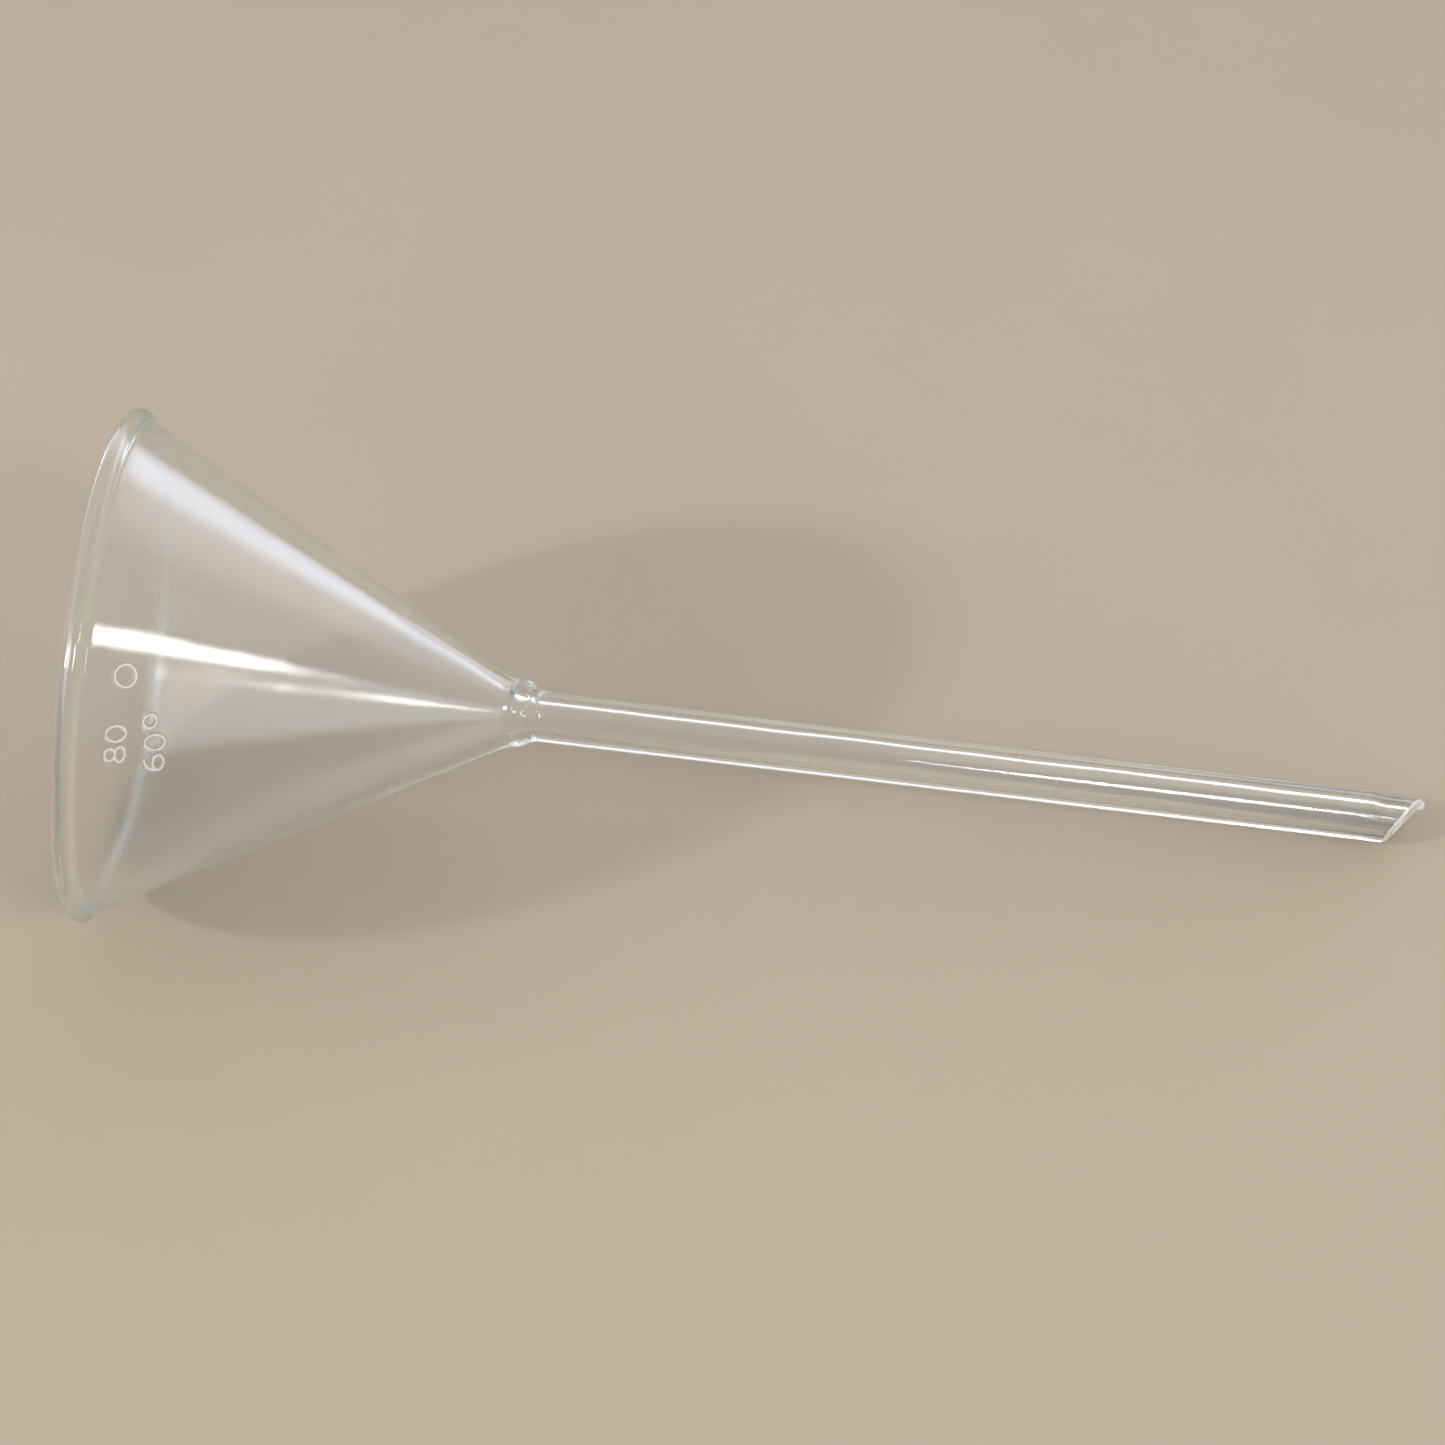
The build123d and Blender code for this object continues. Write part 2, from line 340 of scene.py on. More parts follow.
@dataclass(frozen=True)
class MouldedMark:
    """A row of figures that stand proud of the cone's outer wall."""

    figures: tuple[Figure, ...]
    turn: float
    drop: float
    height: float = 3.5 * MM
    width: float = 2.8 * MM
    pitch: float = 3.15 * MM
    line: float = 0.5 * MM
    relief: float = 0.4 * MM
    crest: float = 0.05 * MM
    foot: float = 0.32 * MM
    ring_radius: float = 1.85 * MM
    degree_radius: float = 1.25 * MM
    six_loop: float = 2.17 * MM
    six_bend: tuple[float, float] = (0.84 * MM, 0.875 * MM)
    six_end: float = 0.616 * MM
    six_pull: float = 1.45
    eight_loop: float = 1.96 * MM
    eight_top_width: float = 2.35 * MM
    arc_points: int = 40

    def oval(self, x: float, y: float, wide: float, tall: float) -> np.ndarray:
        """Points along the middle of an oval line.

        Args:
            x: Middle of the oval, along the figures.
            y: Middle of the oval, towards the rim.
            wide: Width over the line.
            tall: Height over the line.

        Returns:
            One row of x and y for every point.
        """
        angles = np.linspace(0.0, FULL_TURN, self.arc_points)
        across = x + (wide - self.line) / 2 * np.cos(angles)
        upwards = y + (tall - self.line) / 2 * np.sin(angles)
        return np.column_stack([across, upwards])

    def lines(self, figure: Figure, x: float) -> list[np.ndarray]:
        """The middle lines of one figure.

        Args:
            figure: Which figure.
            x: Its middle, along the row.

        Returns:
            The lines, each as points.
        """
        if figure is Figure.NOUGHT:
            return [self.oval(x, 0.0, self.width, self.height)]
        if figure is Figure.SIX:
            loop_middle = (self.six_loop - self.height) / 2
            out, up = self.six_bend
            start = (x + (self.line - self.width) / 2, loop_middle)
            end = (x + self.six_end, (self.height - self.line) / 2)
            back = bezier([start, (x - out * self.six_pull, up * self.six_pull), end], self.arc_points)
            return [self.oval(x, loop_middle, self.width, self.six_loop), back]
        if figure is Figure.EIGHT:
            top = self.height + self.line - self.eight_loop
            lower = self.oval(x, (self.eight_loop - self.height) / 2, self.width, self.eight_loop)
            upper = self.oval(x, (self.height - top) / 2, self.eight_top_width, top)
            return [lower, upper]
        if figure is Figure.DEGREE:
            across = self.degree_radius * 2
            return [self.oval(x, self.height / 2 - self.degree_radius + self.line, across, across)]
        across = self.ring_radius * 2
        return [self.oval(x, 0.0, across, across)]

    def heights_on(self, turns: np.ndarray, drops: np.ndarray, radii: np.ndarray) -> np.ndarray:
        """How far the mark stands out of the wall at each point.

        Args:
            turns: Turn of each point.
            drops: Distance of each point down the wall from the bead.
            radii: Radius of each point.

        Returns:
            The mark's height at each point.
        """
        x = (turns - math.radians(self.turn)) * radii
        y = self.drop - drops
        first = -self.pitch * (len(self.figures) - 1) / 2
        nearest = np.full(x.shape, np.inf)
        for place, figure in enumerate(self.figures):
            for line in self.lines(figure, first + place * self.pitch):
                nearest = np.minimum(nearest, distance_to_line(x, y, line))
        share = np.clip((nearest - self.crest) / (self.foot - self.crest), 0.0, 1.0)
        return self.relief * (0.5 + 0.5 * np.cos(math.pi * share))


def distance_to_line(x: np.ndarray, y: np.ndarray, line: np.ndarray) -> np.ndarray:
    """Distance from points to a line through a run of corners.

    Args:
        x: The points' x.
        y: The points' y.
        line: The line's corners, a row of x and y each.

    Returns:
        The distance from each point to the nearest part of the line.
    """
    nearest = np.full(x.shape, np.inf)
    for (ax, ay), (bx, by) in zip(line[:-1], line[1:]):
        dx, dy = bx - ax, by - ay
        share = np.clip(((x - ax) * dx + (y - ay) * dy) / (dx * dx + dy * dy), 0.0, 1.0)
        nearest = np.minimum(nearest, np.hypot(x - ax - share * dx, y - ay - share * dy))
    return nearest


# ---------------------------------------------------------------------------- worked stretches
@dataclass
class BevelledTip:
    """The stem's ground and fire polished end, with a drip of glass gathered at its long point."""

    sizes: FunnelSizes
    rows: int = 30
    crowding: float = 1.3
    lip_rows: int = 17
    lip_depth: float = 0.75 * MM
    lip_squareness: float = 2.5
    neck_depth: float = 0.55 * MM
    neck_from: float = 9.4 * MM
    neck_to: float = 6.6 * MM
    drip_radius: float = 1.05 * MM
    drip_place: tuple[float, float] = (3.35 * MM, 0.6 * MM)
    drip_root: tuple[float, float] = (3.0 * MM, 1.3 * MM)
    drip_blend: float = 0.25 * MM

    @property
    def long_turn(self) -> float:
        """Turn of the bevel's long point."""
        return self.sizes.bevel_turn + math.pi

    def end_height(self, turns: np.ndarray, radii: np.ndarray) -> np.ndarray:
        """Height of the bevel's face.

        Args:
            turns: Turn of each point.
            radii: Radius of each point.

        Returns:
            Height of the face at each point.
        """
        towards_short = radii / self.sizes.stem_radius * np.cos(turns - self.sizes.bevel_turn)
        return self.sizes.bevel_length / 2 * (1 + towards_short)

    def wall(self, radius: float, turns: np.ndarray) -> Rows:
        """Rows up one side of the wall, from the lip to the plain stem.

        Args:
            radius: Radius of that side.
            turns: The skin's columns.

        Returns:
            The rows.
        """
        foot = self.end_height(turns, np.full(len(turns), radius)) + self.lip_depth
        share = np.linspace(0.0, 1.0, self.rows, endpoint=False)[:, None] ** self.crowding
        heights = foot + share * (self.sizes.tip_length - foot)
        return Rows(np.full(heights.shape, radius), heights)

    def lip(self, turns: np.ndarray) -> Rows:
        """Rows round the end of the wall, from the bore to the outside.

        Args:
            turns: The skin's columns.

        Returns:
            The rows.
        """
        middle = (self.sizes.stem_radius + self.sizes.bore_radius) / 2
        half_wall = (self.sizes.stem_radius - self.sizes.bore_radius) / 2
        angles = np.linspace(math.pi, 0.0, self.lip_rows + 2)[1:-1]
        power = 2 / self.lip_squareness
        across = np.sign(np.cos(angles)) * np.abs(np.cos(angles)) ** power
        depth = 1 - np.abs(np.sin(angles)) ** power
        radii = np.repeat((middle + half_wall * across)[:, None], len(turns), axis=1)
        heights = self.end_height(turns, radii) + self.lip_depth * depth[:, None]
        return Rows(radii, heights)

    def finish(self, rows: Rows, turns: np.ndarray) -> None:
        """Draws the long side in towards the end and gathers the drip there.

        Args:
            rows: The whole skin's rows, which are changed.
            turns: The skin's columns.
        """
        facing = np.clip(np.cos(turns - self.long_turn), 0.0, 1.0) ** 2
        share = np.clip((self.neck_from - rows.heights) / (self.neck_from - self.neck_to), 0.0, 1.0)
        rows.radii -= self.neck_depth * facing * share * share * (3 - 2 * share)
        self.gather(rows, turns - self.long_turn)

    def gather(self, rows: Rows, turns: np.ndarray) -> None:
        """Swells the glass out from the root of the drip to the drip's round surface.

        Args:
            rows: The whole skin's rows, which are changed.
            turns: The skin's columns, counted from the long point.
        """
        root = np.array([self.drip_root[0], 0.0, self.drip_root[1]])
        middle = np.array([self.drip_place[0], 0.0, self.drip_place[1]]) - root
        outward, sideways = rows.radii * np.cos(turns), rows.radii * np.sin(turns)
        away = np.stack([outward, sideways, rows.heights], axis=-1) - root
        distance = np.linalg.norm(away, axis=-1)
        aim = away / distance[..., None]
        along = aim @ middle
        surface = along + np.sqrt(along**2 - middle @ middle + self.drip_radius**2)
        share = np.clip(0.5 + (distance - surface) / (2 * self.drip_blend), 0.0, 1.0)
        swollen = surface * (1 - share) + distance * share + self.drip_blend * share * (1 - share)
        moved = root + aim * swollen[..., None]
        near = distance < surface + self.drip_blend
        rows.radii[near] = np.hypot(moved[..., 0], moved[..., 1])[near]
        rows.heights[near] = moved[..., 2][near]


@dataclass
class DrawnStem:
    """The long plain tube, drawn by hand and so not quite even."""

    sizes: FunnelSizes
    rows: int = 64
    outer_ripple: HandRipple = HandRipple(0.035 * MM, 61 * MM, 2, 0.7)
    inner_ripple: HandRipple = HandRipple(0.05 * MM, 47 * MM, 2, 2.1)

    def wall(self, radius: float, ripple: HandRipple, turns: np.ndarray) -> Rows:
        """Rows up one side of the tube.

        Args:
            radius: Radius of that side.
            ripple: Unevenness of that side.
            turns: The skin's columns.

        Returns:
            The rows.
        """
        heights = np.linspace(self.sizes.tip_length, self.sizes.stem_top, self.rows, endpoint=False)
        rows = Rows.revolve(np.column_stack([np.full(self.rows, radius), heights]), turns)
        fade = np.sin(np.linspace(0.0, math.pi, self.rows))[:, None] ** 0.5
        rows.radii += fade * ripple.offset(turns[None, :], rows.heights)
        return rows


@dataclass
class FlameSeal:
    """The thick swelling where cone and stem were melted together."""

    sizes: FunnelSizes
    rows: int = 26
    collar_rows: int = 18
    seam_height: float = 0.06 * MM
    seam_reach: float = 0.12 * MM
    dent_depth: float = 0.02 * MM
    dents: tuple[tuple[int, float, float], ...] = (
        (9, 2.3, 0.4),
        (17, 3.7, 1.9),
        (23, 5.1, 3.1),
        (31, 6.4, 4.6),
    )
    lean: float = 0.3 * MM
    lean_turn: float = math.radians(225.0)

    def outside(self, turns: np.ndarray) -> Rows:
        """Rows up the shoulder and the collar.

        Args:
            turns: The skin's columns.

        Returns:
            The rows.
        """
        sizes = self.sizes
        collar = sizes.stem_radius + sizes.collar_stand_out
        middle = sizes.collar_foot - sizes.shoulder_length / 2
        corners = [
            (sizes.stem_radius, sizes.stem_top),
            (sizes.stem_radius, middle),
            (collar, middle),
            (collar, sizes.collar_foot),
        ]
        collar_top = sizes.collar_foot + sizes.collar_length
        straight = np.linspace(sizes.collar_foot, collar_top, self.collar_rows, endpoint=False)
        upright = np.column_stack([np.full(self.collar_rows, collar), straight])
        rows = Rows.revolve(np.concatenate([bezier(corners, self.rows)[:-1], upright]), turns)
        share = np.clip((rows.heights - sizes.stem_top) / (collar_top - sizes.stem_top), 0.0, 1.0)
        rows.radii += self.lean * np.sin(math.pi * share) * np.cos(turns - self.lean_turn)
        self.crinkle(rows, turns)
        return rows

    def crinkle(self, rows: Rows, turns: np.ndarray) -> None:
        """Adds the small dents and ridges that the flame leaves.

        Args:
            rows: The seal's outer rows, which are changed.
            turns: The skin's columns.
        """
        bottom = self.sizes.stem_top
        top = self.sizes.collar_foot + self.sizes.collar_length
        share = np.clip((rows.heights - bottom) / (top - bottom), 0.0, 1.0)
        dents = np.zeros(rows.radii.shape)
        for lobes, waves, phase in self.dents:
            dents += np.cos(lobes * turns + phase) * np.sin(waves * FULL_TURN * share + 2 * phase)
        rows.radii += self.dent_depth * dents * np.sin(math.pi * share) ** 2

    def mark_seam(self, rows: Rows, last: int) -> None:
        """Raises the fine ring where the cone was joined on.

        Args:
            rows: The whole skin's rows, which are changed.
            last: Where the outside's rows end.
        """
        joint = self.sizes.collar_foot + self.sizes.collar_length
        away = (rows.heights[:last] - joint) / self.seam_reach
        rows.radii[:last] += self.seam_height * np.exp(-away * away)

    def inside(self, turns: np.ndarray) -> Rows:
        """Rows up the throat, from the bore to the cone.

        Args:
            turns: The skin's columns.

        Returns:
            The rows.
        """
        sizes = self.sizes
        top = sizes.wall_point(sizes.neck_along, sizes.inner_offset)
        throat = top[1] - (top[0] - sizes.bore_radius) / math.tan(sizes.half_angle)
        corners = [(sizes.bore_radius, sizes.stem_top), (sizes.bore_radius, throat), top]
        return Rows.revolve(bezier(corners, self.rows)[:-1], turns)


@dataclass
class BlownCone:
    """The cone's wall, with the moulded marks on its outside."""

    sizes: FunnelSizes
    marks: tuple[MouldedMark, ...]
    rows: int = 44
    fine_rows: int = 128
    top_rows: int = 8
    crowding: float = 1.5
    fine_from: float = 14.6 * MM
    fine_to: float = 2.6 * MM
    outer_ripple: HandRipple = HandRipple(0.05 * MM, 38 * MM, 5, 1.1)
    inner_ripple: HandRipple = HandRipple(0.06 * MM, 29 * MM, 4, 2.7)

    def from_neck(self, end: float) -> np.ndarray:
        """Places along the wall from the neck, where they are closest together, to an end."""
        share = np.linspace(0.0, 1.0, self.rows, endpoint=False) ** self.crowding
        return self.sizes.neck_along + (end - self.sizes.neck_along) * share

    def wall(self, outward: float, alongs: np.ndarray, ripple: HandRipple, turns: np.ndarray) -> Rows:
        """Rows up one side of the wall.

        Args:
            outward: Distance of that side out of the bead's middle.
            alongs: Distance of each row up along the wall from the bead's middle.
            ripple: Unevenness of that side.
            turns: The skin's columns.

        Returns:
            The rows.
        """
        outline = np.array([self.sizes.wall_point(along, outward) for along in alongs])
        rows = Rows.revolve(outline, turns)
        share = (alongs - alongs[0]) / (self.sizes.bead_joint - alongs[0])
        fade = np.sin(math.pi * np.clip(share, 0.0, 1.0))[:, None] ** 0.5
        self.swell(rows, fade * ripple.offset(turns[None, :], rows.heights))
        return rows

    def swell(self, rows: Rows, offset: np.ndarray) -> None:
        """Moves points straight out of the wall.

        Args:
            rows: Rows of the wall, which are changed.
            offset: How far each point moves.
        """
        rows.radii += offset * math.cos(self.sizes.half_angle)
        rows.heights -= offset * math.sin(self.sizes.half_angle)

    def outside(self, turns: np.ndarray) -> Rows:
        """Rows up the outer wall, close together where the marks are.

        Args:
            turns: The skin's columns.

        Returns:
            The rows.
        """
        joint = self.sizes.bead_joint
        alongs = np.concatenate([
            self.from_neck(joint - self.fine_from),
            np.linspace(joint - self.fine_from, joint - self.fine_to, self.fine_rows, endpoint=False),
            np.linspace(joint - self.fine_to, joint, self.top_rows, endpoint=False),
        ])
        rows = self.wall(self.sizes.outer_offset, alongs, self.outer_ripple, turns)
        drops = np.repeat((joint - alongs)[:, None], len(turns), axis=1)
        spread = np.repeat(turns[None, :], len(alongs), axis=0)
        for mark in self.marks:
            self.swell(rows, mark.heights_on(spread, drops, rows.radii))
        return rows

    def inside(self, turns: np.ndarray) -> Rows:
        """Rows up the inner wall.

        Args:
            turns: The skin's columns.

        Returns:
            The rows.
        """
        alongs = self.from_neck(self.sizes.bead_joint)
        return self.wall(self.sizes.inner_offset, alongs, self.inner_ripple, turns)


@dataclass
class RolledRim:
    """The bead rolled on the cone's edge."""

    sizes: FunnelSizes
    rows: int = 36
    ripple: HandRipple = HandRipple(0.06 * MM, 300 * MM, 7, 0.4)

    def around(self, turns: np.ndarray) -> Rows:
        """Rows round the bead, from the outer wall over the top to the inner wall.

        Args:
            turns: The skin's columns.

        Returns:
            The rows.
        """
        sizes = self.sizes
        start = -math.acos(sizes.outer_offset / sizes.bead_radius)
        end = FULL_TURN - math.acos(sizes.inner_offset / sizes.bead_radius)
        angles = np.linspace(start, end, self.rows)
        spots = [
            sizes.wall_point(sizes.bead_radius * math.sin(angle), sizes.bead_radius * math.cos(angle))
            for angle in angles
        ]
        rows = Rows.revolve(np.array(spots), turns)
        centre_radius, centre_height = sizes.wall_point(0.0, 0.0)
        fade = np.sin(np.linspace(0.0, math.pi, self.rows))[:, None]
        scale = 1 + fade * self.ripple.offset(turns[None, :], rows.heights) / sizes.bead_radius
        rows.radii = centre_radius + (rows.radii - centre_radius) * scale
        rows.heights = centre_height + (rows.heights - centre_height) * scale
        return rows


# ---------------------------------------------------------------------------- finishes
class NodeTree:
    """A few short ways to add and join shader nodes."""

    def __init__(self, tree: bpy.types.NodeTree) -> None:
        """Keeps the tree that nodes are added to."""
        self.tree = tree

    def add(self, kind: str, **values: object) -> bpy.types.Node:
        """Adds a node.

        Args:
            kind: Blender's name for the kind of node.
            **values: Properties of the node.

        Returns:
            The node.
        """
        node = self.tree.nodes.new(kind)
        for name, value in values.items():
            setattr(node, name, value)
        return node

    def join(self, source: bpy.types.NodeSocket, target: bpy.types.NodeSocket) -> None:
        """Links an output to an input."""
        self.tree.links.new(source, target)

    def work_out(self, kind: str, operation: str, first: object, second: object) -> bpy.types.NodeSocket:
        """Adds a node that works out one number from two values.

        Args:
            kind: Blender's name for the kind of node.
            operation: What the node does.
            first: An output to link, or a constant.
            second: The same.

        Returns:
            The number.
        """
        node = self.add(kind, operation=operation)
        for entry, value in zip(node.inputs, (first, second)):
            if isinstance(value, bpy.types.NodeSocket):
                self.join(value, entry)
            else:
                entry.default_value = value
        return node.outputs["Value"]


MOTTLE_DETAIL = 4.0
MOTTLE_ROUGHNESS = 0.55


def mottle_group() -> bpy.types.NodeTree:
    """Builds the shared group of soft uneven patches, used for smears on glass and for the table.

    Returns:
        A node group with inputs Size, Sharpness, Low and High, and outputs Value and Mask.
    """
    group = bpy.data.node_groups.new("soft_mottle", "ShaderNodeTree")
    for name, default in (("Size", 40.0), ("Sharpness", 0.2), ("Low", 0.0), ("High", 1.0)):
        socket = group.interface.new_socket(name=name, in_out="INPUT", socket_type="NodeSocketFloat")
        socket.default_value = default
    for name in ("Value", "Mask"):
        group.interface.new_socket(name=name, in_out="OUTPUT", socket_type="NodeSocketFloat")
    nodes = NodeTree(group)
    entry = nodes.add("NodeGroupInput")
    leave = nodes.add("NodeGroupOutput")
    place = nodes.add("ShaderNodeTexCoord")
    noise = nodes.add("ShaderNodeTexNoise")
    noise.inputs["Detail"].default_value = MOTTLE_DETAIL
    noise.inputs["Roughness"].default_value = MOTTLE_ROUGHNESS
    edge = nodes.add("ShaderNodeMapRange", interpolation_type="SMOOTHSTEP")
    low_edge = nodes.add("ShaderNodeMath", operation="SUBTRACT")
    low_edge.inputs[0].default_value = 0.5
    high_edge = nodes.add("ShaderNodeMath", operation="ADD")
    high_edge.inputs[0].default_value = 0.5
    spread = nodes.add("ShaderNodeMapRange")
    nodes.join(place.outputs["Object"], noise.inputs["Vector"])
    nodes.join(entry.outputs["Size"], noise.inputs["Scale"])
    nodes.join(entry.outputs["Sharpness"], low_edge.inputs[1])
    nodes.join(entry.outputs["Sharpness"], high_edge.inputs[1])
    nodes.join(noise.outputs["Fac"], edge.inputs["Value"])
    nodes.join(low_edge.outputs[0], edge.inputs["From Min"])
    nodes.join(high_edge.outputs[0], edge.inputs["From Max"])
    nodes.join(edge.outputs["Result"], spread.inputs["Value"])
    nodes.join(entry.outputs["Low"], spread.inputs["To Min"])
    nodes.join(entry.outputs["High"], spread.inputs["To Max"])
    nodes.join(spread.outputs["Result"], leave.inputs["Value"])
    nodes.join(edge.outputs["Result"], leave.inputs["Mask"])
    return group


def place_mottle(
    nodes: NodeTree, group: bpy.types.NodeTree, size: float, sharpness: float, low: float, high: float
) -> bpy.types.Node:
    """Places the shared mottle group in a material.

    Args:
        nodes: The material's nodes.
        group: The shared group.
        size: How many patches there are to a metre.
        sharpness: Half the width of the patches' edges; less is sharper.
        low: Value between patches.
        high: Value in the patches.

    Returns:
        The group's node.
    """
    node = nodes.add("ShaderNodeGroup")
    node.node_tree = group
    for name, value in (("Size", size), ("Sharpness", sharpness), ("Low", low), ("High", high)):
        node.inputs[name].default_value = value
    return node


@dataclass(frozen=True)
class ClearGlass:
    """Clear fire polished borosilicate glass, handled and so a little smeared."""

    refraction: float = 1.474
    tint: tuple[float, float, float, float] = (0.985, 0.995, 0.992, 1.0)
    depth_colour: tuple[float, float, float, float] = (0.42, 0.86, 0.80, 1.0)
    depth_density: float = 4.0
    clean_roughness: float = 0.0
    smear_roughness: float = 0.045
    smears_per_metre: float = 46.0
    smear_edge: float = 0.16
    ripples_per_metre: float = 150.0
    ripple_edge: float = 0.5
    ripple_depth: float = 0.012 * MM
    grains_per_metre: float = 2300.0
    grain_edge: float = 0.3
    grain_depth: float = 0.005 * MM

    def material(self, mottle: bpy.types.NodeTree) -> bpy.types.Material:
        """Makes the material.

        Args:
            mottle: The shared mottle group.

        Returns:
            The material.
        """
        made = bpy.data.materials.new("clear_glass")
        made.use_nodes = True
        nodes = NodeTree(made.node_tree)
        shader = made.node_tree.nodes["Principled BSDF"]
        leave = made.node_tree.nodes["Material Output"]
        shader.inputs["Base Color"].default_value = self.tint
        shader.inputs["Metallic"].default_value = 0.0
        shader.inputs["Transmission Weight"].default_value = 1.0
        shader.inputs["IOR"].default_value = self.refraction
        smears = place_mottle(
            nodes, mottle, self.smears_per_metre, self.smear_edge, self.clean_roughness, self.smear_roughness
        )
        nodes.join(smears.outputs["Value"], shader.inputs["Roughness"])
        ripples = place_mottle(nodes, mottle, self.ripples_per_metre, self.ripple_edge, 0.0, 1.0)
        bump = nodes.add("ShaderNodeBump")
        bump.inputs["Distance"].default_value = self.ripple_depth
        nodes.join(ripples.outputs["Value"], bump.inputs["Height"])
        grains = place_mottle(nodes, mottle, self.grains_per_metre, self.grain_edge, 0.0, 1.0)
        dust = nodes.add("ShaderNodeBump")
        dust.inputs["Distance"].default_value = self.grain_depth
        nodes.join(grains.outputs["Value"], dust.inputs["Height"])
        nodes.join(bump.outputs["Normal"], dust.inputs["Normal"])
        nodes.join(dust.outputs["Normal"], shader.inputs["Normal"])
        depth = nodes.add("ShaderNodeVolumeAbsorption")
        depth.inputs["Color"].default_value = self.depth_colour
        depth.inputs["Density"].default_value = self.depth_density
        nodes.join(depth.outputs["Volume"], leave.inputs["Volume"])
        return made


@dataclass(frozen=True)
class PaintedHighlightGlass:
    """Whitish, partly clear glass that paints highlights: a painted highlight on the figures' crests and on
    the drip, and the same finish on the bevel's ground edge.
    """

    # Pale colour that paints the bright glints of the figures' crests and the drip: a painted highlight.
    highlight_white: tuple[float, float, float, float] = (0.96, 0.95, 0.92, 1.0)
    clearness: float = 0.4
    roughness: float = 0.22
    refraction: float = 1.474

    def material(self) -> bpy.types.Material:
        """Makes the material."""
        made = bpy.data.materials.new("painted_highlight_glass")
        made.use_nodes = True
        shader = made.node_tree.nodes["Principled BSDF"]
        shader.inputs["Base Color"].default_value = self.highlight_white
        shader.inputs["Metallic"].default_value = 0.0
        shader.inputs["Transmission Weight"].default_value = self.clearness
        shader.inputs["IOR"].default_value = self.refraction
        shader.inputs["Roughness"].default_value = self.roughness
        return made


@dataclass(frozen=True)
class PaleTable:
    """Plain pale table top, warm and matt."""

    pale: tuple[float, float, float, float] = (0.42, 0.345, 0.252, 1.0)
    paler: tuple[float, float, float, float] = (0.445, 0.368, 0.272, 1.0)
    patches_per_metre: float = 7.0
    patch_edge: float = 0.4
    roughness: float = 0.7

    def material(self, mottle: bpy.types.NodeTree) -> bpy.types.Material:
        """Makes the material.

        Args:
            mottle: The shared mottle group.

        Returns:
            The material.
        """
        made = bpy.data.materials.new("pale_table")
        made.use_nodes = True
        nodes = NodeTree(made.node_tree)
        shader = made.node_tree.nodes["Principled BSDF"]
        shader.inputs["Roughness"].default_value = self.roughness
        patches = place_mottle(nodes, mottle, self.patches_per_metre, self.patch_edge, 0.0, 1.0)
        blend = nodes.add("ShaderNodeMix", data_type="RGBA")
        blend.inputs["A"].default_value = self.pale
        blend.inputs["B"].default_value = self.paler
        nodes.join(patches.outputs["Mask"], blend.inputs["Factor"])
        nodes.join(blend.outputs["Result"], shader.inputs["Base Color"])
        return made


